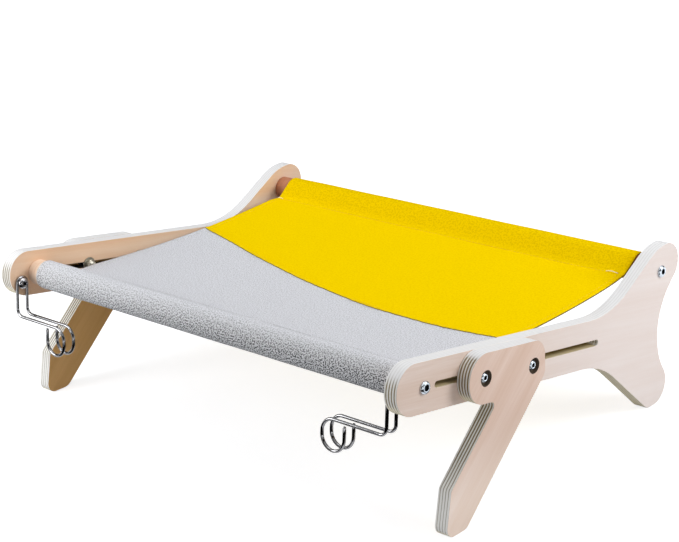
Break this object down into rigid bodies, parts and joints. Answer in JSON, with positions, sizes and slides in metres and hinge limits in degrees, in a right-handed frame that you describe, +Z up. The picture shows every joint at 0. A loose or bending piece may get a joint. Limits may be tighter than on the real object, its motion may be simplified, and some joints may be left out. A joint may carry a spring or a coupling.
{
  "type": "cat hammock",
  "caption": "Low cat bed with plywood sides joined by dowels, a sewn cloth sling stretched between the dowels, front legs that slide along slots, and bent-wire toy hooks.",
  "frame": {"origin": "centre of the bounding box in plan, on the floor", "axes": "+X to the right across the bed, +Y to the rear, +Z up"},
  "size_m": [0.6004, 0.463, 0.1807],
  "materials": {
    "plywood_panel": "pale birch plywood, sanded and clear matt varnished",
    "plywood_leg": "birch plywood, sanded and clear matt varnished",
    "dowel_wood": "turned beech, bare",
    "zinc_steel": "bright zinc plated",
    "chrome_wire": "polished chrome plated wire",
    "grey_cloth": "light grey woven upholstery cloth, tweed speckle",
    "yellow_cloth": "bright yellow woven upholstery cloth"
  },
  "bodies": {
    "frame": {"left_side_panel": "plywood_panel", "right_side_panel": "plywood_panel", "front_dowel": "dowel_wood", "rear_dowel": "dowel_wood", "front_dowel_inserts": "zinc_steel", "rear_dowel_inserts": "zinc_steel", "left_front_dowel_bolt": "zinc_steel", "left_rear_dowel_bolt": "zinc_steel", "right_front_dowel_bolt": "zinc_steel", "right_rear_dowel_bolt": "zinc_steel", "left_hook_screw": "zinc_steel", "right_hook_screw": "zinc_steel", "sling_front_cloth": "grey_cloth", "sling_rear_cloth": "yellow_cloth"},
    "left_leg": {"left_front_leg": "plywood_leg", "left_leg_front_bolt": "zinc_steel", "left_leg_rear_bolt": "zinc_steel", "left_leg_washers": "zinc_steel", "left_leg_nuts": "zinc_steel"},
    "right_leg": {"right_front_leg": "plywood_leg", "right_leg_front_bolt": "zinc_steel", "right_leg_rear_bolt": "zinc_steel", "right_leg_washers": "zinc_steel", "right_leg_nuts": "zinc_steel"},
    "left_hook": {"left_hook": "chrome_wire"},
    "right_hook": {"right_hook": "chrome_wire"}
  },
  "joints": [
    {"name": "left_leg_slide", "type": "slide", "parent": "frame", "child": "left_leg", "axis": [0, 0.9857, -0.1685], "range_m": [-0.039, 0.126]},
    {"name": "left_hook_swing", "type": "hinge", "parent": "frame", "child": "left_hook", "pos_m": [-0.2682, -0.21578, 0.1481], "axis": [1, 0, 0], "range_deg": [-90, 40]},
    {"name": "right_leg_slide", "type": "slide", "parent": "frame", "child": "right_leg", "axis": [0, 0.9857, -0.1685], "range_m": [-0.039, 0.126]},
    {"name": "right_hook_swing", "type": "hinge", "parent": "frame", "child": "right_hook", "pos_m": [0.2682, -0.21578, 0.1481], "axis": [1, 0, 0], "range_deg": [-90, 40]}
  ]
}
